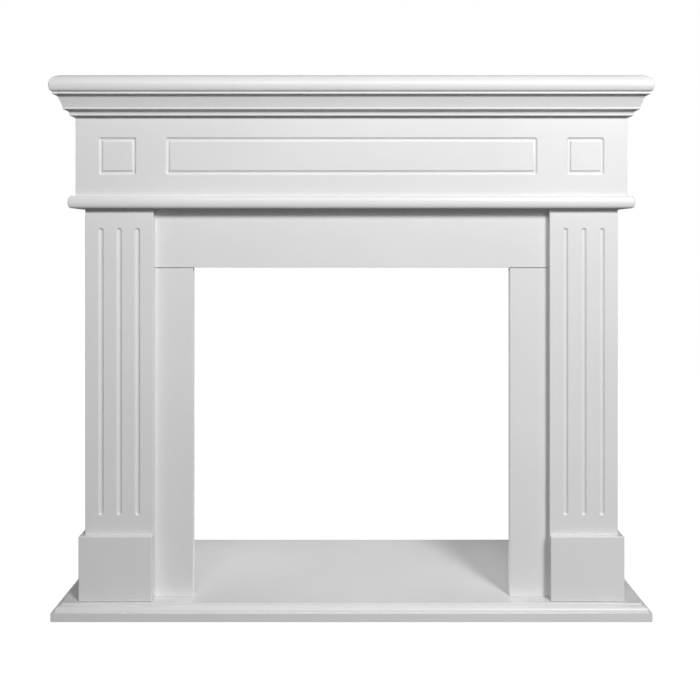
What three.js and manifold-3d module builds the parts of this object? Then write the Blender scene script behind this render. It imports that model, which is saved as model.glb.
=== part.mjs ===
// Fireplace mantelpiece of white painted board, in millimetres, +Z up.
// The front faces -Y, and the origin is on the floor under the middle of the mantelpiece.
// Setbacks run back from the front edge of the shelf, so every front face hangs on the one above it.

import * as THREE from 'three';
import { mergeVertices } from 'three/addons/utils/BufferGeometryUtils.js';
import Module from 'manifold-3d';

const wasm = await Module();
wasm.setup();

// Mantel shelf
const shelfWidth = 1160;
const shelfDepth = 380;
const shelfThickness = 33;
const shelfReveal = 6; // the shelf's edge beyond the cornice below it
const shelfNoseRise = 12.5; // from the underside to where the nose stands out furthest
const shelfNoseTopDepth = 20; // how far the nose falls back towards the top
const shelfNoseFootDepth = 5; // how far it falls back towards the underside

// Cornice moulding, named from the top down: heights, and how far each part steps in
const corniceTopFillet = 5;
const corniceTopStep = 6.4;
const coveHeight = 23;
const coveStep = 8.6;
const coveHollow = 0.5; // how far the cove sags behind a straight slope
const corniceMidFillet = 4;
const corniceMidStep = 3;
const lowCoveSize = 6.5;
const corniceBaseFillet = 4.5;
const corniceBaseLip = 0.5;
const corniceBaseProjection = 9;
const mitreGap = 0.3; // clearance between two mitred lengths, square to the mitre

// Header box
const friezeHeight = 156; // what shows of the frieze between the base board and the cornice
const baseBoardThickness = 24;
const baseBoardOverhang = 12; // beyond the frieze, at the front and at both ends
const baseNoseRise = 9.5; // from the underside to where its nose stands out furthest
const baseNoseTopDepth = 5.6;
const baseNoseFootDepth = 4.7;

// Routed panels on the frieze
const panelHeight = 73;
const panelEndMargin = 45.5; // plain face between a square panel and the frieze's end
const panelSpacing = 58; // between a square panel and the long one
const panelGrooveWidth = 8.4;
const panelGrooveDepth = 2.8;

// Legs
const legInset = 17; // a leg's outer face inside the frieze's end
const pilasterSetback = 5; // the pilaster's face behind the frieze's face
const pilasterWidth = 134;
const boardThickness = 16;

// Flutes in each pilaster
const fluteCount = 3;
const flutePitch = 35.8;
const fluteWidth = 10;
const fluteDepth = 3.2;
const fluteFootMargin = 38.5; // plain face between the plinth and the flutes
const fluteHeadMargin = 38.5; // plain face between the flutes and the header

// Plinths, each a board round the front and the outer side of a leg
const plinthHeight = 127;
const plinthThickness = 10;

// Frame round the firebox opening
const openingHeight = 651.5;
const stileWidth = 75.5;
const lintelHeight = 116.5;
const frameSetback = 14; // the frame's face behind the pilaster's face
const lintelJoint = 1.5; // open joint between the lintel and the stiles

// Hearth slab, with a moulded edge at the front and at both ends
const hearthThickness = 30;
const hearthFrontMargin = 22; // beyond the face of the plinths
const hearthSideMargin = 47; // beyond the outer sides of the plinths
const hearthEdgeLedge = 5;
const hearthEdgeRound = 9.5;
const hearthEdgeLip = 1;
const hearthEdgeRise = 3.5;

// Facets of the round forms
const noseSegments = 9;
const coveSegments = 6;
const roundSegments = 6;
const cutterSegments = 16;
const cutterCapSegments = 5;

// Heights worked out from the floor up
const openingTop = hearthThickness + openingHeight;
const headerBase = openingTop + lintelHeight;
const friezeBase = headerBase + baseBoardThickness;
const corniceBase = friezeBase + friezeHeight;
const corniceHeight = corniceTopFillet + coveHeight + corniceMidFillet + lowCoveSize + corniceBaseFillet;
const shelfBase = corniceBase + corniceHeight;
const plinthTop = hearthThickness + plinthHeight;

// Places across the width, from the middle
const corniceProjection = corniceBaseProjection + corniceBaseLip + lowCoveSize
  + corniceMidStep + coveStep + corniceTopStep;
const shelfOverhang = corniceProjection + shelfReveal;
const friezeEnd = shelfWidth / 2 - shelfOverhang;
const legOuter = friezeEnd - legInset;
const legInner = legOuter - pilasterWidth;
const openingSide = legInner - stileWidth;
const plinthOuter = legOuter + plinthThickness;
const hearthEnd = plinthOuter + hearthSideMargin;
const pilasterMiddle = (legOuter + legInner) / 2;
const squarePanelMiddle = friezeEnd - panelEndMargin - panelHeight / 2;
const longPanelEnd = squarePanelMiddle - panelHeight / 2 - panelSpacing;

// Places along the depth
const shelfFront = -shelfDepth / 2;
const back = shelfDepth / 2;
const friezeFace = shelfFront + shelfOverhang;
const pilasterFace = friezeFace + pilasterSetback;
const plinthFace = pilasterFace - plinthThickness;
const frameFace = pilasterFace + frameSetback;
const hearthFront = plinthFace - hearthFrontMargin;
const pilasterBack = pilasterFace + boardThickness;
const friezeBack = friezeFace + boardThickness;

const sides = [
  { word: 'left', sign: -1 },
  { word: 'right', sign: 1 },
];

// Satin white paint
const paintColour = 0xe9e9e8;
const paintRoughness = 0.42;

// Solids

function toSolid(geometry) {
  const bare = geometry.clone();
  bare.deleteAttribute('normal');
  bare.deleteAttribute('uv');
  const merged = mergeVertices(bare);
  return new wasm.Manifold(new wasm.Mesh({
    numProp: 3,
    vertProperties: new Float32Array(merged.attributes.position.array),
    triVerts: new Uint32Array(merged.index.array),
  }));
}

function toGeometry(solid) {
  const mesh = solid.getMesh();
  const geometry = new THREE.BufferGeometry();
  geometry.setAttribute('position', new THREE.BufferAttribute(mesh.vertProperties, 3));
  geometry.setIndex(new THREE.BufferAttribute(mesh.triVerts, 1));
  geometry.computeVertexNormals();
  return geometry;
}

// A square-edged board between two corners
function board([x0, x1], [y0, y1], [z0, z1]) {
  const geometry = new THREE.BoxGeometry(x1 - x0, y1 - y0, z1 - z0);
  geometry.translate((x0 + x1) / 2, (y0 + y1) / 2, (z0 + z1) / 2);
  return geometry;
}

// The same span of the width on the left or on the right, lower end first
function acrossOn(sign, inner, outer) {
  return sign < 0 ? [-outer, -inner] : [inner, outer];
}

function ellipsePoints(x, y, xRadius, yRadius, from, to, segments) {
  return new THREE.EllipseCurve(x, y, xRadius, yRadius, from, to, from > to).getPoints(segments);
}

function arcPoints(x, y, radius, from, to, segments) {
  return ellipsePoints(x, y, radius, radius, from, to, segments);
}

// Edge profiles: x runs in from the edge, y up from the underside

// Two quarter ovals that meet where the nose stands out furthest, at its rise
function nosedEdge(thickness, rise, topDepth, footDepth) {
  const left = -Math.PI;
  const over = thickness - rise;
  const foot = ellipsePoints(footDepth, rise, footDepth, rise, -Math.PI / 2, left, noseSegments);
  const top = ellipsePoints(topDepth, rise, topDepth, over, left, -Math.PI * 1.5, noseSegments);
  return [...foot, ...top.slice(1)];
}

function hearthEdge() {
  const faceTop = hearthThickness - hearthEdgeRise - hearthEdgeRound;
  const roundMiddle = hearthEdgeLedge + hearthEdgeRound;
  return [
    new THREE.Vector2(0, 0),
    new THREE.Vector2(0, faceTop),
    ...arcPoints(roundMiddle, faceTop, hearthEdgeRound, Math.PI, Math.PI / 2, roundSegments),
    new THREE.Vector2(roundMiddle + hearthEdgeLip, faceTop + hearthEdgeRound),
    new THREE.Vector2(roundMiddle + hearthEdgeLip, hearthThickness),
  ];
}

// A board whose front and two ends carry the same edge profile, mitred at its front corners
function profiledBoard(edge, halfWidth, front, base) {
  const depth = back - front;
  const top = edge[edge.length - 1].y;

  const frontShape = new THREE.Shape([
    ...edge,
    new THREE.Vector2(depth, top),
    new THREE.Vector2(depth, 0),
  ]);
  const frontPrism = new THREE.ExtrudeGeometry(frontShape, { depth: 2 * halfWidth, bevelEnabled: false });
  frontPrism.applyMatrix4(new THREE.Matrix4().makeBasis(
    new THREE.Vector3(0, 1, 0),
    new THREE.Vector3(0, 0, 1),
    new THREE.Vector3(1, 0, 0),
  ));
  frontPrism.translate(-halfWidth, front, base);

  const leftEdge = edge.map((point) => new THREE.Vector2(point.x - halfWidth, point.y));
  const rightEdge = edge.map((point) => new THREE.Vector2(halfWidth - point.x, point.y)).reverse();
  const endsShape = new THREE.Shape([...leftEdge, ...rightEdge]);
  const endsPrism = new THREE.ExtrudeGeometry(endsShape, { depth, bevelEnabled: false });
  endsPrism.applyMatrix4(new THREE.Matrix4().makeBasis(
    new THREE.Vector3(1, 0, 0),
    new THREE.Vector3(0, 0, 1),
    new THREE.Vector3(0, -1, 0),
  ));
  endsPrism.translate(0, back, base);

  return toGeometry(toSolid(frontPrism).intersect(toSolid(endsPrism)));
}

// Round-bottomed groove of a ball-nosed cutter, from one point of a front face to another.
// The points are the middles of the cutter's first and last place, and y is the face.
function grooveCutter(from, to, face, width, depth) {
  const radius = (width * width / 4 + depth * depth) / (2 * depth);
  const run = new THREE.Vector2(to.x - from.x, to.y - from.y);
  const geometry = new THREE.CapsuleGeometry(radius, run.length(), cutterCapSegments, cutterSegments);
  geometry.rotateX(Math.PI / 2);
  geometry.rotateY(Math.atan2(run.x, run.y));
  geometry.translate((from.x + to.x) / 2, face + depth - radius, (from.y + to.y) / 2);
  return toSolid(geometry);
}

// Parts of the mantelpiece

// Pilaster board with its flutes
function pilaster(sign) {
  const width = acrossOn(sign, legInner, legOuter);
  let solid = toSolid(board(width, [pilasterFace, pilasterBack], [hearthThickness, headerBase]));
  const low = plinthTop + fluteFootMargin + fluteWidth / 2;
  const high = headerBase - fluteHeadMargin - fluteWidth / 2;
  for (let i = 0; i < fluteCount; i += 1) {
    const x = sign * pilasterMiddle + (i - (fluteCount - 1) / 2) * flutePitch;
    const from = new THREE.Vector2(x, low);
    const to = new THREE.Vector2(x, high);
    solid = solid.subtract(grooveCutter(from, to, pilasterFace, fluteWidth, fluteDepth));
  }
  return toGeometry(solid);
}

// Frieze board with a square panel near each end and a long panel between them,
// each panel drawn by a groove that runs round it
function friezeBoard() {
  let solid = toSolid(board([-friezeEnd, friezeEnd], [friezeFace, friezeBack], [friezeBase, shelfBase]));
  const panels = [
    { middle: -squarePanelMiddle, half: panelHeight / 2 },
    { middle: 0, half: longPanelEnd },
    { middle: squarePanelMiddle, half: panelHeight / 2 },
  ];
  const middleHeight = (friezeBase + corniceBase) / 2;
  const toGroove = panelGrooveWidth / 2;
  const rise = panelHeight / 2 - toGroove;
  for (const { middle, half } of panels) {
    const reach = half - toGroove;
    const corners = [
      new THREE.Vector2(middle - reach, middleHeight - rise),
      new THREE.Vector2(middle + reach, middleHeight - rise),
      new THREE.Vector2(middle + reach, middleHeight + rise),
      new THREE.Vector2(middle - reach, middleHeight + rise),
    ];
    corners.forEach((corner, i) => {
      const next = corners[(i + 1) % corners.length];
      solid = solid.subtract(grooveCutter(corner, next, friezeFace, panelGrooveWidth, panelGrooveDepth));
    });
  }
  return toGeometry(solid);
}

// Section of the cornice: x is how far it stands out from the frieze, y the height over its foot
function corniceSection() {
  const baseOut = corniceBaseProjection + corniceBaseLip;
  const lowCoveOut = baseOut + lowCoveSize;
  const midOut = lowCoveOut + corniceMidStep;
  const coveOut = midOut + coveStep;
  const lowCoveTop = corniceBaseFillet + lowCoveSize;
  const midTop = lowCoveTop + corniceMidFillet;
  const coveTop = midTop + coveHeight;
  const cove = new THREE.QuadraticBezierCurve(
    new THREE.Vector2(midOut, midTop),
    new THREE.Vector2(midOut + coveStep / 2 - coveHollow, midTop + coveHeight / 2 + coveHollow),
    new THREE.Vector2(coveOut, coveTop),
  );
  return new THREE.Shape([
    new THREE.Vector2(0, 0),
    new THREE.Vector2(corniceBaseProjection, 0),
    new THREE.Vector2(corniceBaseProjection, corniceBaseFillet),
    ...arcPoints(lowCoveOut, corniceBaseFillet, lowCoveSize, Math.PI, Math.PI / 2, coveSegments),
    new THREE.Vector2(midOut, lowCoveTop),
    ...cove.getPoints(coveSegments),
    new THREE.Vector2(corniceProjection, coveTop),
    new THREE.Vector2(corniceProjection, corniceHeight),
    new THREE.Vector2(0, corniceHeight),
  ]);
}

// One length of cornice. The place function puts a point of the section at one of its two ends.
function corniceLength(place) {
  const geometry = new THREE.ExtrudeGeometry(corniceSection(), { depth: 1, bevelEnabled: false });
  const position = geometry.attributes.position;
  for (let i = 0; i < position.count; i += 1) {
    const out = position.getX(i);
    const height = position.getY(i);
    const [x, y] = place(out, position.getZ(i) > 0);
    position.setXYZ(i, x, y, corniceBase + height);
  }
  geometry.computeVertexNormals();
  return geometry;
}

// Half the clearance at a mitre, measured along the length
const mitreEase = mitreGap / Math.SQRT2;

function frontCornice() {
  return corniceLength((out, atFarEnd) => {
    const end = friezeEnd + out - mitreEase;
    return [atFarEnd ? -end : end, friezeFace - out];
  });
}

function corniceReturn(sign) {
  return corniceLength((out, atFarEnd) => {
    const atBack = atFarEnd === (sign < 0);
    return [sign * (friezeEnd + out), atBack ? back : friezeFace - out + mitreEase];
  });
}

// The whole mantelpiece
const group = new THREE.Group();

function addPart(name, geometry) {
  const material = new THREE.MeshStandardMaterial({
    color: paintColour,
    roughness: paintRoughness,
    metalness: 0,
  });
  const mesh = new THREE.Mesh(geometry, material);
  mesh.name = name;
  group.add(mesh);
}

function addLeg({ word, sign }) {
  const legHeight = [hearthThickness, headerBase];
  const plinthRise = [hearthThickness, plinthTop];
  const outerSide = acrossOn(sign, legOuter - boardThickness, legOuter);
  const innerSide = acrossOn(sign, legInner, legInner + boardThickness);
  addPart(`pilaster_${word}`, pilaster(sign));
  addPart(`leg_outer_side_${word}`, board(outerSide, [pilasterBack, back], legHeight));
  addPart(`leg_inner_side_${word}`, board(innerSide, [pilasterBack, back], legHeight));
  const plinthFront = acrossOn(sign, legInner, plinthOuter);
  const plinthSide = acrossOn(sign, legOuter, plinthOuter);
  addPart(`plinth_front_${word}`, board(plinthFront, [plinthFace, pilasterFace], plinthRise));
  addPart(`plinth_side_${word}`, board(plinthSide, [pilasterFace, back], plinthRise));
}

function addOpeningFrame() {
  const depth = [frameFace, frameFace + boardThickness];
  for (const { word, sign } of sides) {
    const width = acrossOn(sign, openingSide, legInner);
    addPart(`stile_${word}`, board(width, depth, [hearthThickness, openingTop - lintelJoint]));
  }
  addPart('lintel', board([-legInner, legInner], depth, [openingTop, headerBase]));
}

function addHeader() {
  const baseEdge = nosedEdge(baseBoardThickness, baseNoseRise, baseNoseTopDepth, baseNoseFootDepth);
  const baseEnd = friezeEnd + baseBoardOverhang;
  const baseFront = friezeFace - baseBoardOverhang;
  addPart('header_base_board', profiledBoard(baseEdge, baseEnd, baseFront, headerBase));
  addPart('frieze_board', friezeBoard());
  for (const { word, sign } of sides) {
    const width = acrossOn(sign, friezeEnd - boardThickness, friezeEnd);
    addPart(`frieze_end_${word}`, board(width, [friezeBack, back], [friezeBase, shelfBase]));
  }
  addPart('cornice_front', frontCornice());
  for (const { word, sign } of sides) {
    addPart(`cornice_${word}`, corniceReturn(sign));
  }
  const shelfEdge = nosedEdge(shelfThickness, shelfNoseRise, shelfNoseTopDepth, shelfNoseFootDepth);
  addPart('mantel_shelf', profiledBoard(shelfEdge, shelfWidth / 2, shelfFront, shelfBase));
}

addPart('hearth_slab', profiledBoard(hearthEdge(), hearthEnd, hearthFront, 0));
sides.forEach(addLeg);
addOpeningFrame();
addHeader();

export default group;
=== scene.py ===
"""Fireplace mantelpiece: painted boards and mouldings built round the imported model, and a studio."""

import math

import bmesh
import bpy
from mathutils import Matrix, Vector


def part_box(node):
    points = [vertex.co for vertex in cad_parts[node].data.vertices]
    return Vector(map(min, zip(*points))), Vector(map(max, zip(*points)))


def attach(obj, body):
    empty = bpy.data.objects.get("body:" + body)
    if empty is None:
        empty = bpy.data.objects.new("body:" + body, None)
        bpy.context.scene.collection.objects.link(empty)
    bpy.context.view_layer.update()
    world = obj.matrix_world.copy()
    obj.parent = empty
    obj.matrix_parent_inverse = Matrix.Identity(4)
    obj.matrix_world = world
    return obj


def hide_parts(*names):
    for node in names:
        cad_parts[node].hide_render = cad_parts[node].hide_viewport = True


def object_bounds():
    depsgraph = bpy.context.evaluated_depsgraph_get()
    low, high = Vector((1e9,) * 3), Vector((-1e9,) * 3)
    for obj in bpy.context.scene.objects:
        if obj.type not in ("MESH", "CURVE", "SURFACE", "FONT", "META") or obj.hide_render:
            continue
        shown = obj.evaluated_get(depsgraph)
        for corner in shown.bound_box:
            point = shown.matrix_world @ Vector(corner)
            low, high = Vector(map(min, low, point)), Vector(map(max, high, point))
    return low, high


bl_info = {
    "name": "Fireplace Mantelpiece",
    "version": (1, 0, 0),
    "blender": (4, 5, 0),
    "location": "3D View > Sidebar > Mantelpiece",
    "description": "Builds a white painted fireplace mantelpiece board by board, with its studio",
    "category": "Object",
}

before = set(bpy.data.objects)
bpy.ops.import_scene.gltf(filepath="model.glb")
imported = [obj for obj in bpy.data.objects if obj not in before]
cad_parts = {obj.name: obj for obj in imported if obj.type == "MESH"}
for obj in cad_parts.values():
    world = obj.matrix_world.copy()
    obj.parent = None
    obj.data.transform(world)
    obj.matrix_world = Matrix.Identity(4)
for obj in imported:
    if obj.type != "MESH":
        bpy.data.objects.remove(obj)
CAD_LOW, CAD_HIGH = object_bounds()

MM = 0.001
BODY = "root"
SIDES = ("left", "right")

SMOOTH_ANGLE = math.radians(40)
WELD_DISTANCE = 1e-6
FLAT_FACE_WEIGHT = 100  # how far the wide faces outweigh their eased edges in the shading
NOSE_STEPS = 14  # facets of each half of a nose
COVE_STEPS = 24
LIP_STEPS = 4
GROOVE_STEPS = 7
EASE_STEPS = 3
CORNER_STEPS = 4
END_STEPS = 12  # facets of a flute's half-round end, an even number
SMALL_EASE = 0.5  # share of the moulding ease on its sharper arrises
COVE_FOOT = 0.3  # lean of the cove's first point over the middle fillet, as a share of the ease

CLOUD_SCALE = 5.0  # patches of thinner paint per metre
CLOUD_DETAIL = 4.0
CLOUD_RANGE = (0.3, 0.7)  # noise up to which the paint is thin, and from which it is full
STREAK_SCALE = 28.0  # changes of gloss per metre
GLOSS_SPREAD = 0.05  # change of roughness to either side of the mean
RIPPLE_DETAIL = 2.0

FLOOR_ROUGHNESS = 0.9
FLOOR_SPECULAR = 0.1
FRAME_PIXELS = 700  # side of the square picture that the camera's pixel values refer to
SENSOR_WIDTH = 36.0  # millimetres

# The face of a board that each name stands for: its axis, and the low or high end of the box
FACES = {
    "left": (0, 0),
    "right": (0, 1),
    "front": (1, 0),
    "back": (1, 1),
    "bottom": (2, 0),
    "top": (2, 1),
}


def length(name, description, millimetres, **more):
    """A size in metres whose default is given in millimetres."""
    return bpy.props.FloatProperty(
        name=name, description=description, default=millimetres * MM, precision=5,
        subtype="DISTANCE", unit="LENGTH", **more
    )


def colour(name, description, default):
    """A plain colour, red, green and blue from 0 to 1."""
    return bpy.props.FloatVectorProperty(
        name=name, description=description, default=default, size=3, min=0.0, max=1.0, subtype="COLOR"
    )


def amount(name, description, default, **more):
    """A number without a unit."""
    return bpy.props.FloatProperty(name=name, description=description, default=default, **more)


class BoardSizes(bpy.types.PropertyGroup):
    """Noses and eased edges of the boards."""

    shelf_nose_rise: length("Shelf Nose Rise", "Height of the foremost line over the underside", 12.5)
    shelf_nose_top: length("Shelf Nose Top", "How far the shelf's nose falls back towards the top", 20)
    shelf_nose_foot: length("Shelf Nose Foot", "How far it falls back towards the underside", 5)
    base_nose_rise: length("Base Nose Rise", "The same rise of the header's base board", 9.5)
    base_nose_top: length("Base Nose Top", "How far the base board's nose falls back at its top", 5.6)
    base_nose_foot: length("Base Nose Foot", "How far it falls back towards the underside", 4.7)
    ease: length("Board Ease", "Radius of the eased edges of the plain boards", 1.2)
    frame_ease: length("Frame Ease", "Radius of the eased edges round the firebox opening", 1.0)
    plinth_ease: length("Plinth Ease", "Radius of the eased edges of the plinths", 1.6)
    plinth_joint: length("Plinth Joint", "Open joint between the plinths and the hearth", 1.0)
    tongue_setback: length("Tongue Setback", "Depth of the open joint under the lintel", 4.0)
    nose_corner: length("Nose Corner", "Radius in plan of the corners of the round-nosed boards", 2.5)
    hearth_corner: length("Hearth Corner", "Radius in plan of the hearth's front corners", 2.0)
    hearth_arris: length("Hearth Arris", "Radius of the hearth's upper front edge", 1.6)
    moulding_ease: length("Moulding Ease", "Radius of the arrises of the mouldings", 0.7)


class GrooveSizes(bpy.types.PropertyGroup):
    """The flutes and the routed panels."""

    flute_count: bpy.props.IntProperty(
        name="Flutes", description="Flutes in each pilaster", default=3, min=1
    )
    flute_pitch: length("Flute Pitch", "Distance from one flute to the next", 35.8)
    flute_width: length("Flute Width", "Width of a flute at the face", 10)
    flute_depth: length("Flute Depth", "Depth of a flute", 3.2)
    flute_foot: length("Flute Foot", "Plain face between the plinth and the flutes", 38.5)
    flute_head: length("Flute Head", "Plain face between the flutes and the header", 38.5)
    panel_height: length("Panel Height", "Height of the routed panels, and width of the square ones", 73)
    panel_end: length("Panel End", "Plain face between a square panel and the frieze's end", 45.5)
    panel_spacing: length("Panel Spacing", "Distance from a square panel to the long one", 58)
    panel_width: length("Groove Width", "Width of the groove round a panel", 8.4)
    panel_depth: length("Groove Depth", "Depth of the groove round a panel", 2.8)
    lip: length("Groove Lip", "Radius of the softened lips of the flutes and grooves", 0.7)


class MouldingSizes(bpy.types.PropertyGroup):
    """The cornice section and the hearth's edge, named from the top down."""

    top_fillet: length("Top Fillet", "Height of the fillet under the shelf", 5)
    top_step: length("Top Step", "How far the top fillet stands out over the cove", 6.4)
    cove_height: length("Cove Height", "Height of the large cove", 23)
    cove_step: length("Cove Step", "How far the large cove leans out", 8.6)
    cove_hollow: length("Cove Hollow", "How far the cove sags behind a straight slope", 0.5)
    mid_fillet: length("Middle Fillet", "Height of the fillet under the large cove", 4)
    mid_step: length("Middle Step", "How far the middle fillet stands out over the small cove", 3)
    low_cove: length("Small Cove", "Radius of the small cove", 6.5)
    base_fillet: length("Base Fillet", "Height of the fillet at the cornice's foot", 4.5)
    base_lip: length("Base Lip", "Step between the small cove and the base fillet", 0.5)
    hearth_ledge: length("Hearth Ledge", "Flat ledge over the hearth's face", 5)
    hearth_round: length("Hearth Round", "Radius of the hearth's quarter round", 9.5)
    hearth_lip: length("Hearth Lip", "Flat lip behind the quarter round", 1)
    hearth_rise: length("Hearth Rise", "Step up from the quarter round to the hearth's top", 3.5)


class PaintLook(bpy.types.PropertyGroup):
    """The satin white paint."""

    tint: colour("Paint", "Colour of the paint", (0.80, 0.80, 0.80))
    shade: colour("Thin Paint", "Colour of the paint where it lies thinner", (0.765, 0.765, 0.767))
    roughness: amount("Roughness", "Mean roughness", 0.36, min=0, max=1)
    ripple: length("Ripple", "Height of the fine ripple that spraying leaves", 0.02)
    ripple_size: length("Ripple Size", "Width of one ripple", 2.6)


class StudioLook(bpy.types.PropertyGroup):
    """The camera, the floor and the lights."""

    camera_distance: length("Camera Distance", "From the camera to the shelf's front edge", 1610)
    camera_height: length("Camera Height", "Height of the camera over the floor", 730)
    focal_px: amount("Focal Length", "In pixels of a 700 pixel frame", 843.3)
    centre_px: amount("Middle", "Pixel column of the middle", 351.47)
    horizon_px: amount("Horizon", "Pixel row of the horizon", 243.0)
    floor: colour("Floor", "Colour of the floor that the camera sees", (0.12, 0.12, 0.12))
    floor_glow: amount("Floor Glow", "Light that the seen floor gives off", 1.0)
    bounce: colour("Bounce", "Colour of the floor that throws light back", (0.15, 0.15, 0.15))
    floor_reach: length("Floor Reach", "Half the width of the floor", 14000)
    floor_gap: length("Floor Gap", "Drop from the mantelpiece's underside to the floor", 0.2)


class MantelpieceSettings(bpy.types.PropertyGroup):
    """All the groups of sizes and looks."""

    boards: bpy.props.PointerProperty(type=BoardSizes)
    grooves: bpy.props.PointerProperty(type=GrooveSizes)
    mouldings: bpy.props.PointerProperty(type=MouldingSizes)
    paint: bpy.props.PointerProperty(type=PaintLook)
    studio: bpy.props.PointerProperty(type=StudioLook)


def settings():
    """The scene's own sizes and looks."""
    return bpy.context.scene.mantelpiece


# Paint


def painted():
    """The satin white paint, made once."""
    name = "satin_white_paint"
    if name in bpy.data.materials:
        return bpy.data.materials[name]
    look = settings().paint
    material = bpy.data.materials.new(name)
    material.use_nodes = True
    nodes = material.node_tree.nodes
    links = material.node_tree.links
    shader = nodes["Principled BSDF"]
    place = nodes.new("ShaderNodeTexCoord")

    clouds = nodes.new("ShaderNodeTexNoise")
    clouds.inputs["Scale"].default_value = CLOUD_SCALE
    clouds.inputs["Detail"].default_value = CLOUD_DETAIL
    links.new(place.outputs["Object"], clouds.inputs["Vector"])
    tone = nodes.new("ShaderNodeValToRGB")
    tone.color_ramp.elements[0].position = CLOUD_RANGE[0]
    tone.color_ramp.elements[0].color = (*look.shade, 1)
    tone.color_ramp.elements[1].position = CLOUD_RANGE[1]
    tone.color_ramp.elements[1].color = (*look.tint, 1)
    links.new(clouds.outputs["Fac"], tone.inputs["Fac"])
    links.new(tone.outputs["Color"], shader.inputs["Base Color"])

    gloss_map = nodes.new("ShaderNodeMapRange")
    gloss_map.inputs["To Min"].default_value = look.roughness - GLOSS_SPREAD
    gloss_map.inputs["To Max"].default_value = look.roughness + GLOSS_SPREAD
    streaks = nodes.new("ShaderNodeTexNoise")
    streaks.inputs["Scale"].default_value = STREAK_SCALE
    links.new(place.outputs["Object"], streaks.inputs["Vector"])
    links.new(streaks.outputs["Fac"], gloss_map.inputs["Value"])
    links.new(gloss_map.outputs["Result"], shader.inputs["Roughness"])

    ripple = nodes.new("ShaderNodeTexNoise")
    ripple.inputs["Scale"].default_value = 1.0 / look.ripple_size
    ripple.inputs["Detail"].default_value = RIPPLE_DETAIL
    links.new(place.outputs["Object"], ripple.inputs["Vector"])
    bump = nodes.new("ShaderNodeBump")
    bump.inputs["Strength"].default_value = 1.0
    bump.inputs["Distance"].default_value = look.ripple
    links.new(ripple.outputs["Fac"], bump.inputs["Height"])
    links.new(bump.outputs["Normal"], shader.inputs["Normal"])
    return material


# Meshes


def place_piece(node, mesh_builder):
    """Turn a bmesh into the painted piece that stands for one node."""
    bmesh.ops.remove_doubles(mesh_builder, verts=mesh_builder.verts, dist=WELD_DISTANCE)
    bmesh.ops.recalc_face_normals(mesh_builder, faces=mesh_builder.faces)
    mesh = bpy.data.meshes.new(node + "_painted")
    mesh_builder.to_mesh(mesh)
    mesh_builder.free()
    mesh.shade_smooth()
    mesh.set_sharp_from_angle(angle=SMOOTH_ANGLE)
    mesh.materials.append(painted())
    piece = bpy.data.objects.new(node + "_painted", mesh)
    bpy.context.scene.collection.objects.link(piece)
    weighted = piece.modifiers.new("flat_faces", "WEIGHTED_NORMAL")
    weighted.keep_sharp = True
    weighted.weight = FLAT_FACE_WEIGHT
    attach(piece, BODY)
    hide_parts(node)


def join_loops(builder, outer, inner):
    """Bridge two closed loops that have the same number of vertices."""
    count = len(outer)
    for i in range(count):
        j = (i + 1) % count
        builder.faces.new((outer[i], outer[j], inner[j], inner[i]))


def add_block(builder, low, high):
    """Add a plain block between two corners."""
    block = bmesh.ops.create_cube(builder, size=1.0)
    for vertex in block["verts"]:
        for axis in range(3):
            vertex.co[axis] = high[axis] if vertex.co[axis] > 0 else low[axis]


def eased_board(node, ease, butted=(), joint=0.0, tongue_top=None):
    """A square-edged board with its free edges eased. The butted faces keep theirs sharp.

    The joint is left open under the board. Where tongue_top is given, a tongue on the board's top,
    set back from both faces, reaches that height.
    """
    low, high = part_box(node)
    low.z += joint
    builder = bmesh.new()
    add_block(builder, low, high)
    ends = (low, high)

    def lies_on(edge, face):
        axis, end = FACES[face]
        return all(abs(v.co[axis] - ends[end][axis]) < WELD_DISTANCE for v in edge.verts)

    free = [e for e in builder.edges if not any(lies_on(e, face) for face in butted)]
    bmesh.ops.bevel(builder, geom=free, offset=ease, segments=EASE_STEPS, profile=0.5, affect="EDGES")
    if tongue_top is not None:
        setback = settings().boards.tongue_setback
        add_block(
            builder,
            Vector((low.x, low.y + setback, high.z - setback)),
            Vector((high.x, high.y - setback, tongue_top)),
        )
    place_piece(node, builder)


def oval(x, y, x_radius, y_radius, start, end, steps):
    """Points of part of an oval in degrees, both ends included."""
    angles = (math.radians(start + (end - start) * i / steps) for i in range(steps + 1))
    return [Vector((x + x_radius * math.cos(a), y + y_radius * math.sin(a))) for a in angles]


def arc(x, y, radius, start, end, steps):
    """Points of part of a circle in degrees, both ends included."""
    return oval(x, y, radius, radius, start, end, steps)


def eased_profile(corners):
    """An open profile whose corners (x, y, radius) are rounded."""
    points = []
    for i, (x, y, radius) in enumerate(corners):
        here = Vector((x, y))
        if radius == 0 or i in (0, len(corners) - 1):
            points.append(here)
            continue
        back = Vector(corners[i - 1][:2]) - here
        ahead = Vector(corners[i + 1][:2]) - here
        half = back.angle(ahead) / 2
        reach = min(radius / math.tan(half), back.length * 0.5, ahead.length * 0.5)
        used = reach * math.tan(half)
        centre = here + (back.normalized() + ahead.normalized()).normalized() * (used / math.sin(half))
        first = here + back.normalized() * reach - centre
        last = here + ahead.normalized() * reach - centre
        turn = math.atan2(first.x * last.y - first.y * last.x, first.dot(last))
        start = math.atan2(first.y, first.x)
        for k in range(EASE_STEPS + 1):
            angle = start + turn * k / EASE_STEPS
            points.append(centre + Vector((math.cos(angle), math.sin(angle))) * used)
    return points


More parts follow.
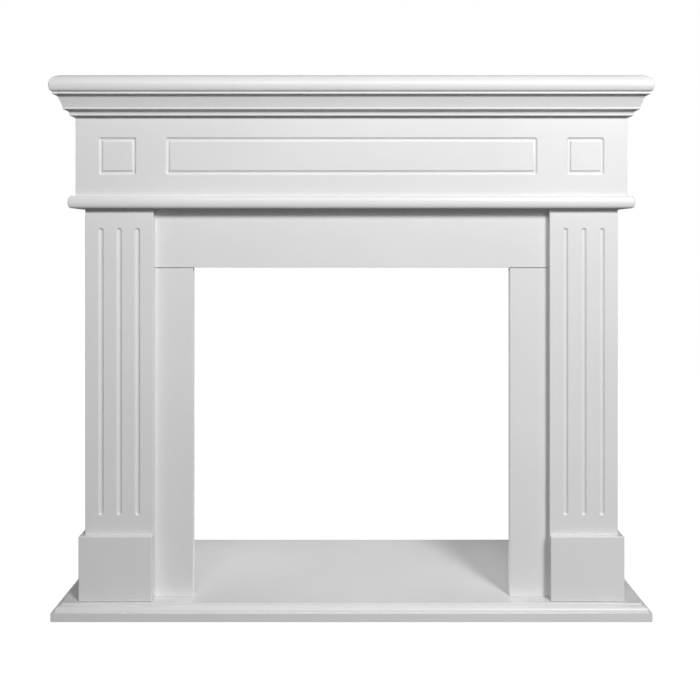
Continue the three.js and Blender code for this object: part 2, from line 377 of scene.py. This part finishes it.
def profiled_board(node, edge, corner):
    """A board with one edge profile round its front and both ends, its corners rounded in plan.

    The edge's points are (inset from the edge, height over the underside), from the bottom up.
    """
    low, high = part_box(node)
    builder = bmesh.new()
    rings = []
    for inset, height in edge:
        outline = [(low.x + inset, high.y)]
        left = arc(low.x + inset + corner, low.y + inset + corner, corner, 180, 270, CORNER_STEPS)
        right = arc(high.x - inset - corner, low.y + inset + corner, corner, 270, 360, CORNER_STEPS)
        outline += [*left, *right, (high.x - inset, high.y)]
        rings.append([builder.verts.new((x, y, low.z + height)) for x, y in outline])
    for below, above in zip(rings, rings[1:]):
        for i in range(len(below) - 1):
            builder.faces.new((below[i], below[i + 1], above[i + 1], above[i]))
    builder.faces.new(rings[0])
    builder.faces.new(rings[-1])
    builder.faces.new([ring[0] for ring in rings] + [ring[-1] for ring in reversed(rings)])
    place_piece(node, builder)


def nosed_board(node, rise, top_depth, foot_depth):
    """A board whose nose is two quarter ovals that meet where it stands out furthest."""
    low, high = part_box(node)
    over = high.z - low.z - rise
    foot = oval(foot_depth, rise, foot_depth, rise, 270, 180, NOSE_STEPS)
    top = oval(top_depth, rise, top_depth, over, 180, 90, NOSE_STEPS)
    profiled_board(node, foot + top[1:], settings().boards.nose_corner)


def groove_section(width, depth, lip):
    """Half of a ball-nosed groove with a softened lip, from the lip in.

    The points are (distance from the groove's middle, depth).
    """
    radius = (width * width / 4 + depth * depth) / (2 * depth)
    rise = radius - depth
    reach = math.sqrt((radius + lip) ** 2 - (rise + lip) ** 2)
    steepest = math.atan2(reach, rise + lip)
    section = []
    for k in range(LIP_STEPS + 1):
        angle = steepest * k / LIP_STEPS
        section.append((reach - lip * math.sin(angle), lip - lip * math.cos(angle)))
    for k in range(1, GROOVE_STEPS + 1):
        angle = steepest * (1 - k / GROOVE_STEPS)
        section.append((radius * math.sin(angle), radius * math.cos(angle) - rise))
    return section


class CarvedFace:
    """The front face of a board whose grooves are cut into it, and the plain rest of the board."""

    def __init__(self, node, ease):
        self.node = node
        self.low, self.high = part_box(node)
        self.ease = ease
        self.builder = bmesh.new()
        self.seams = []

    def vertex(self, x, z, depth=0.0):
        """A new vertex at a depth behind the face."""
        return self.builder.verts.new((x, self.low.y + depth, z))

    def cell(self, left, right, outline, top, bottom):
        """Plain face round one closed outline, in two halves that meet over and under it.

        The outline runs anticlockwise, and top and bottom are the places in it of its highest
        and lowest middle vertex.
        """
        middle = outline[top].co.x
        low, high = self.low.z, self.high.z
        corners = {(x, z): self.vertex(x, z) for x in (left, middle, right) for z in (low, high)}
        count = len(outline)
        left_run = [outline[(top + k) % count] for k in range((bottom - top) % count + 1)]
        right_run = [outline[(bottom + k) % count] for k in range((top - bottom) % count + 1)]
        left_turn = ((middle, low), (left, low), (left, high), (middle, high))
        right_turn = ((middle, high), (right, high), (right, low), (middle, low))
        self.builder.faces.new(left_run + [corners[place] for place in left_turn])
        self.builder.faces.new(right_run + [corners[place] for place in right_turn])
        self.seams += [left, middle, right]

    def close(self):
        """The eased front edges, the ends, the back, the top and the bottom."""
        low, high, ease = self.low, self.high, self.ease
        seams = sorted(set(round(x, 7) for x in self.seams))
        left = [(p.x, p.y) for p in arc(low.x + ease, low.y + ease, ease, 270, 180, EASE_STEPS)]
        right = [(p.x, p.y) for p in arc(high.x - ease, low.y + ease, ease, 0, -90, EASE_STEPS)]
        outline = [*left, (low.x, high.y), (high.x, high.y), *right]
        for (x0, y0), (x1, y1) in zip(outline, outline[1:]):
            corners = ((x0, y0, low.z), (x1, y1, low.z), (x1, y1, high.z), (x0, y0, high.z))
            self.builder.faces.new([self.builder.verts.new(corner) for corner in corners])
        inner = [(x, low.y) for x in reversed(seams)][1:-1]
        for z in (low.z, high.z):
            self.builder.faces.new([self.builder.verts.new((x, y, z)) for x, y in outline + inner])
        place_piece(self.node, self.builder)


def pilaster(side):
    """The front board of one leg, with its flutes."""
    sizes = settings().grooves
    node = f"pilaster_{side}"
    face = CarvedFace(node, settings().boards.ease)
    plinth_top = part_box(f"plinth_front_{side}")[1].z
    middle = (face.low.x + face.high.x) / 2
    foot = plinth_top + sizes.flute_foot + sizes.flute_width / 2
    head = face.high.z - sizes.flute_head - sizes.flute_width / 2
    section = groove_section(sizes.flute_width, sizes.flute_depth, sizes.lip)
    left = face.low.x + face.ease
    for i in range(sizes.flute_count):
        x = middle + (i - (sizes.flute_count - 1) / 2) * sizes.flute_pitch
        loops = []
        for reach, depth in section:
            outline = arc(x, head, reach, 0, 180, END_STEPS) + arc(x, foot, reach, 180, 360, END_STEPS)
            loops.append([face.vertex(px, pz, depth) for px, pz in outline])
        for outer, inner in zip(loops, loops[1:]):
            join_loops(face.builder, outer, inner)
        last = i == sizes.flute_count - 1
        right = face.high.x - face.ease if last else x + sizes.flute_pitch / 2
        face.cell(left, right, loops[0], END_STEPS // 2, END_STEPS + 1 + END_STEPS // 2)
        left = right
    face.close()


def panel_outline(face, middle, height, half_width, half_height, offset, depth):
    """A groove's loop at a distance outside (or, below zero, inside) the cutter's rectangular path."""
    radius = max(offset, 0.0)
    shift = min(offset, 0.0)
    right, top = half_width + shift, half_height + shift
    points = [(middle, height + top + radius)]
    points += arc(middle - right, height + top, radius, 90, 180, CORNER_STEPS)
    points += arc(middle - right, height - top, radius, 180, 270, CORNER_STEPS)
    points += [(middle, height - top - radius)]
    points += arc(middle + right, height - top, radius, 270, 360, CORNER_STEPS)
    points += arc(middle + right, height + top, radius, 0, 90, CORNER_STEPS)
    return [face.vertex(x, z, depth) for x, z in points]


def frieze_board():
    """The header's front board, with a long routed panel between two square ones."""
    sizes = settings().grooves
    face = CarvedFace("frieze_board", settings().boards.ease)
    cornice_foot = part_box("cornice_front")[0].z
    height = (face.low.z + cornice_foot) / 2
    half_square = sizes.panel_height / 2
    square_middle = face.high.x - sizes.panel_end - half_square
    half_long = square_middle - half_square - sizes.panel_spacing
    to_groove = sizes.panel_width / 2
    section = groove_section(sizes.panel_width, sizes.panel_depth, sizes.lip)
    steps = section + [(-reach, depth) for reach, depth in reversed(section[:-1])]
    panels = ((-square_middle, half_square), (0.0, half_long), (square_middle, half_square))
    split = half_long + sizes.panel_spacing / 2
    bounds = (face.low.x + face.ease, -split, split, face.high.x - face.ease)
    for (middle, half), left, right in zip(panels, bounds, bounds[1:]):
        path = (half - to_groove, half_square - to_groove)
        loops = [panel_outline(face, middle, height, *path, offset, depth) for offset, depth in steps]
        for outer, inner in zip(loops, loops[1:]):
            join_loops(face.builder, outer, inner)
        face.builder.faces.new(loops[-1])
        face.cell(left, right, loops[0], 0, 2 * CORNER_STEPS + 3)
    face.close()


def cornice_section():
    """Section of the cornice: (projection from the frieze, height over its foot)."""
    s = settings().mouldings
    ease = settings().boards.moulding_ease
    low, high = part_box("cornice_front")
    top_out = high.y - low.y
    total = high.z - low.z
    cove_out = top_out - s.top_step
    mid_out = cove_out - s.cove_step
    low_cove_out = mid_out - s.mid_step
    base_out = low_cove_out - s.low_cove - s.base_lip
    cove_top = total - s.top_fillet
    mid_top = cove_top - s.cove_height
    low_cove_top = mid_top - s.mid_fillet
    points = eased_profile([
        (0, 0, 0),
        (base_out, 0, ease),
        (base_out, s.base_fillet, ease),
        (base_out + s.base_lip, s.base_fillet, 0),
    ])
    points += arc(low_cove_out, s.base_fillet, s.low_cove, 180, 90, GROOVE_STEPS)
    points += eased_profile([
        (low_cove_out, low_cove_top, 0),
        (mid_out, low_cove_top, ease),
        (mid_out, mid_top, ease * SMALL_EASE),
        (mid_out + ease * COVE_FOOT, mid_top + ease, 0),
    ])
    lean = Vector((s.cove_step, s.cove_height))
    across = Vector((-lean.y, lean.x)).normalized()
    for k in range(1, COVE_STEPS + 1):
        t = k / COVE_STEPS
        sag = 4 * t * (1 - t) * s.cove_hollow
        points.append(Vector((mid_out, mid_top)) + lean * t + across * sag)
    points += eased_profile([
        (cove_out, cove_top, 0),
        (top_out, cove_top, ease),
        (top_out, total, ease * SMALL_EASE),
        (0, total, 0),
    ])
    return points


def cornice_length(node, place):
    """A mitred length: the place function puts (projection, height) at its first or last end."""
    builder = bmesh.new()
    section = cornice_section()
    first = [builder.verts.new(place(p, False)) for p in section]
    last = [builder.verts.new(place(p, True)) for p in section]
    join_loops(builder, first, last)
    builder.faces.new(first)
    builder.faces.new(last)
    place_piece(node, builder)


def cornice():
    """The length along the front and the two along the ends, mitred at the corners."""
    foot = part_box("cornice_front")[0].z
    frieze_low, frieze_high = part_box("frieze_board")
    reach = frieze_high.x

    def along_front(point, at_end):
        out, height = point
        x = reach + out
        return (x if at_end else -x, frieze_low.y - out, foot + height)

    cornice_length("cornice_front", along_front)
    for side, sign in zip(SIDES, (-1, 1)):
        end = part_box(f"cornice_{side}")[1].y

        def along_end(point, at_end, sign=sign, end=end):
            out, height = point
            y = end if at_end else frieze_low.y - out
            return (sign * (reach + out), y, foot + height)

        cornice_length(f"cornice_{side}", along_end)


def hearth_edge():
    """Section of the hearth's edge: (inset from the edge, height over the underside)."""
    s = settings().mouldings
    ease = settings().boards.moulding_ease
    arris = settings().boards.hearth_arris
    low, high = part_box("hearth_slab")
    thickness = high.z - low.z
    face_top = thickness - s.hearth_rise - s.hearth_round
    lip = s.hearth_ledge + s.hearth_round + s.hearth_lip
    points = eased_profile([
        (ease, 0, 0),
        (0, 0, ease),
        (0, face_top, ease),
        (s.hearth_ledge, face_top, 0),
    ])
    middle = s.hearth_ledge + s.hearth_round
    points += arc(middle, face_top, s.hearth_round, 180, 90, GROOVE_STEPS)
    points.append(Vector((lip, face_top + s.hearth_round)))
    points += arc(lip + arris, thickness - arris, arris, 180, 90, GROOVE_STEPS)
    return points


# Studio


def floor_material(name, tint, glow):
    """A matt floor that may give off some white light."""
    material = bpy.data.materials.new(name)
    material.use_nodes = True
    shader = material.node_tree.nodes["Principled BSDF"]
    shader.inputs["Base Color"].default_value = (*tint, 1)
    shader.inputs["Roughness"].default_value = FLOOR_ROUGHNESS
    shader.inputs["Specular IOR Level"].default_value = FLOOR_SPECULAR
    shader.inputs["Emission Color"].default_value = (1, 1, 1, 1)
    shader.inputs["Emission Strength"].default_value = glow
    return material


def studio_plane(name, drop, material):
    """A wide level plane a little under the mantelpiece."""
    mesh = bpy.data.meshes.new(name)
    reach = settings().studio.floor_reach
    corners = [(-reach, -reach, 0), (reach, -reach, 0), (reach, reach, 0), (-reach, reach, 0)]
    mesh.from_pydata(corners, [], [(0, 1, 2, 3)])
    mesh.materials.append(material)
    plane = bpy.data.objects.new(name, mesh)
    bpy.context.scene.collection.objects.link(plane)
    plane.location.z = CAD_LOW.z - drop
    return plane


def floors():
    """A white floor that only the camera sees, and a grey one whose bounce lights the paint."""
    look = settings().studio
    seen_paint = floor_material("studio_floor", look.floor, look.floor_glow)
    seen = studio_plane("studio_floor", look.floor_gap, seen_paint)
    seen.visible_diffuse = False
    seen.visible_glossy = False
    seen.visible_shadow = False
    bounce_paint = floor_material("studio_bounce", look.bounce, 0.0)
    bounce = studio_plane("studio_bounce", 2 * look.floor_gap, bounce_paint)
    bounce.visible_camera = False


def area_light(name, place, target, size, watts):
    """A soft square light. One in the back half of the studio, from y = 0 on, adds no reflections."""
    data = bpy.data.lights.new(name, "AREA")
    data.shape = "SQUARE"
    data.size = size
    data.energy = watts
    light = bpy.data.objects.new(name, data)
    bpy.context.scene.collection.objects.link(light)
    light.location = place
    light.rotation_euler = (Vector(target) - Vector(place)).to_track_quat("-Z", "Y").to_euler()
    light.visible_camera = False
    light.visible_glossy = place[1] < 0


# Name, place, target, side of the square in metres, watts
LIGHTS = (
    ("key", (1.3, -2.7, 2.4), (0.0, 0.0, 0.7), 0.6, 58.5),
    ("side_key", (1.7, -2.6, 1.9), (0.0, 0.0, 0.7), 0.7, 22.0),
    ("middle_fill", (0.1, -2.7, 2.4), (0.0, 0.0, 0.7), 0.6, 13.5),
    ("left_fill", (-0.6, -2.6, 2.4), (0.0, 0.0, 0.7), 0.6, 14.5),
    ("low_fill", (0.0, -3.6, 0.9), (0.0, 0.0, 0.6), 1.6, 5.0),
    ("hearth_fill", (0.0, 0.16, 0.78), (0.0, 0.16, 0.0), 0.15, 1.3),
    ("back_left", (-2.2, 2.4, 0.15), (0.0, 0.0, 0.4), 0.3, 60.0),
    ("back_right", (2.2, 2.4, 0.15), (0.0, 0.0, 0.4), 0.3, 42.0),
)


def studio():
    """The floors, the lights, the white surroundings and the camera."""
    look = settings().studio
    scene = bpy.context.scene
    floors()
    for light in LIGHTS:
        area_light(*light)

    world = bpy.data.worlds.new("studio")
    scene.world = world
    world.use_nodes = True
    background = world.node_tree.nodes["Background"]
    background.inputs["Color"].default_value = (1, 1, 1, 1)
    background.inputs["Strength"].default_value = 1.0
    world.cycles_visibility.diffuse = False
    world.cycles_visibility.glossy = False
    scene.view_settings.view_transform = "Standard"

    data = bpy.data.cameras.new("camera")
    data.sensor_width = SENSOR_WIDTH
    data.lens = look.focal_px / FRAME_PIXELS * SENSOR_WIDTH
    data.shift_x = (FRAME_PIXELS / 2 - look.centre_px) / FRAME_PIXELS
    data.shift_y = (look.horizon_px - FRAME_PIXELS / 2) / FRAME_PIXELS
    camera = bpy.data.objects.new("camera", data)
    camera.location = (0, CAD_LOW.y - look.camera_distance, look.camera_height)
    camera.rotation_euler = (math.pi / 2, 0, 0)
    scene.collection.objects.link(camera)
    scene.camera = camera


# Operators


class MANTELPIECE_OT_hearth_slab(bpy.types.Operator):
    """Build the hearth slab with its moulded edge"""

    bl_idname = "mantelpiece.hearth_slab"
    bl_label = "Hearth Slab"

    def execute(self, context):
        profiled_board("hearth_slab", hearth_edge(), settings().boards.hearth_corner)
        return {"FINISHED"}


class MANTELPIECE_OT_pilasters(bpy.types.Operator):
    """Build the two fluted pilasters"""

    bl_idname = "mantelpiece.pilasters"
    bl_label = "Pilasters"

    def execute(self, context):
        for side in SIDES:
            pilaster(side)
        return {"FINISHED"}


class MANTELPIECE_OT_leg_sides(bpy.types.Operator):
    """Build the side boards of the leg boxes"""

    bl_idname = "mantelpiece.leg_sides"
    bl_label = "Leg Sides"

    def execute(self, context):
        ease = settings().boards.ease
        for side in SIDES:
            for place in ("outer", "inner"):
                eased_board(f"leg_{place}_side_{side}", ease, ("front", "bottom", "top"))
        return {"FINISHED"}


class MANTELPIECE_OT_plinths(bpy.types.Operator):
    """Build the plinth boards at the foot of the legs"""

    bl_idname = "mantelpiece.plinths"
    bl_label = "Plinths"

    def execute(self, context):
        ease = settings().boards.plinth_ease
        joint = settings().boards.plinth_joint
        for side, inner in zip(SIDES, ("right", "left")):
            eased_board(f"plinth_front_{side}", ease, ("back", "bottom"), joint)
            eased_board(f"plinth_side_{side}", ease, ("front", "bottom", inner), joint)
        return {"FINISHED"}


class MANTELPIECE_OT_opening_frame(bpy.types.Operator):
    """Build the stiles and the lintel round the firebox opening"""

    bl_idname = "mantelpiece.opening_frame"
    bl_label = "Opening Frame"

    def execute(self, context):
        ease = settings().boards.frame_ease
        lintel_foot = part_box("lintel")[0].z
        for side in SIDES:
            eased_board(f"stile_{side}", ease, (side,), tongue_top=lintel_foot)
        eased_board("lintel", ease, ("left", "right", "top"))
        return {"FINISHED"}


class MANTELPIECE_OT_header_base_board(bpy.types.Operator):
    """Build the round-nosed board under the header"""

    bl_idname = "mantelpiece.header_base_board"
    bl_label = "Header Base Board"

    def execute(self, context):
        sizes = settings().boards
        nosed_board("header_base_board", sizes.base_nose_rise, sizes.base_nose_top, sizes.base_nose_foot)
        return {"FINISHED"}


class MANTELPIECE_OT_frieze(bpy.types.Operator):
    """Build the frieze board with its routed panels, and the header's end boards"""

    bl_idname = "mantelpiece.frieze"
    bl_label = "Frieze"

    def execute(self, context):
        frieze_board()
        for side in SIDES:
            eased_board(f"frieze_end_{side}", settings().boards.ease, ("front", "bottom", "top"))
        return {"FINISHED"}


class MANTELPIECE_OT_cornice(bpy.types.Operator):
    """Build the three mitred lengths of cornice"""

    bl_idname = "mantelpiece.cornice"
    bl_label = "Cornice"

    def execute(self, context):
        cornice()
        return {"FINISHED"}


class MANTELPIECE_OT_mantel_shelf(bpy.types.Operator):
    """Build the round-nosed mantel shelf"""

    bl_idname = "mantelpiece.mantel_shelf"
    bl_label = "Mantel Shelf"

    def execute(self, context):
        sizes = settings().boards
        nosed_board("mantel_shelf", sizes.shelf_nose_rise, sizes.shelf_nose_top, sizes.shelf_nose_foot)
        return {"FINISHED"}


class MANTELPIECE_OT_studio(bpy.types.Operator):
    """Build the floor, the lights and the camera"""

    bl_idname = "mantelpiece.studio"
    bl_label = "Studio"

    def execute(self, context):
        studio()
        return {"FINISHED"}


STEPS = (
    MANTELPIECE_OT_hearth_slab,
    MANTELPIECE_OT_pilasters,
    MANTELPIECE_OT_leg_sides,
    MANTELPIECE_OT_plinths,
    MANTELPIECE_OT_opening_frame,
    MANTELPIECE_OT_header_base_board,
    MANTELPIECE_OT_frieze,
    MANTELPIECE_OT_cornice,
    MANTELPIECE_OT_mantel_shelf,
    MANTELPIECE_OT_studio,
)


class MANTELPIECE_PT_panel(bpy.types.Panel):
    """Lists the building steps and the sizes that they use"""

    bl_idname = "MANTELPIECE_PT_panel"
    bl_label = "Mantelpiece"
    bl_space_type = "VIEW_3D"
    bl_region_type = "UI"
    bl_category = "Mantelpiece"

    def draw(self, context):
        for step in STEPS:
            self.layout.operator(step.bl_idname)
        for group_name in MantelpieceSettings.__annotations__:
            group = getattr(settings(), group_name)
            box = self.layout.box()
            for name in group.__annotations__:
                box.prop(group, name)


CLASSES = (
    BoardSizes,
    GrooveSizes,
    MouldingSizes,
    PaintLook,
    StudioLook,
    MantelpieceSettings,
    *STEPS,
    MANTELPIECE_PT_panel,
)


def register():
    """Add the settings, the steps and the panel."""
    for cls in CLASSES:
        bpy.utils.register_class(cls)
    bpy.types.Scene.mantelpiece = bpy.props.PointerProperty(type=MantelpieceSettings)


def unregister():
    """Take them out again."""
    del bpy.types.Scene.mantelpiece
    for cls in reversed(CLASSES):
        bpy.utils.unregister_class(cls)


def main():
    """Build the mantelpiece step by step."""
    register()
    bpy.ops.mantelpiece.hearth_slab()
    bpy.ops.mantelpiece.pilasters()
    bpy.ops.mantelpiece.leg_sides()
    bpy.ops.mantelpiece.plinths()
    bpy.ops.mantelpiece.opening_frame()
    bpy.ops.mantelpiece.header_base_board()
    bpy.ops.mantelpiece.frieze()
    bpy.ops.mantelpiece.cornice()
    bpy.ops.mantelpiece.mantel_shelf()
    bpy.ops.mantelpiece.studio()


if __name__ == "__main__":
    main()
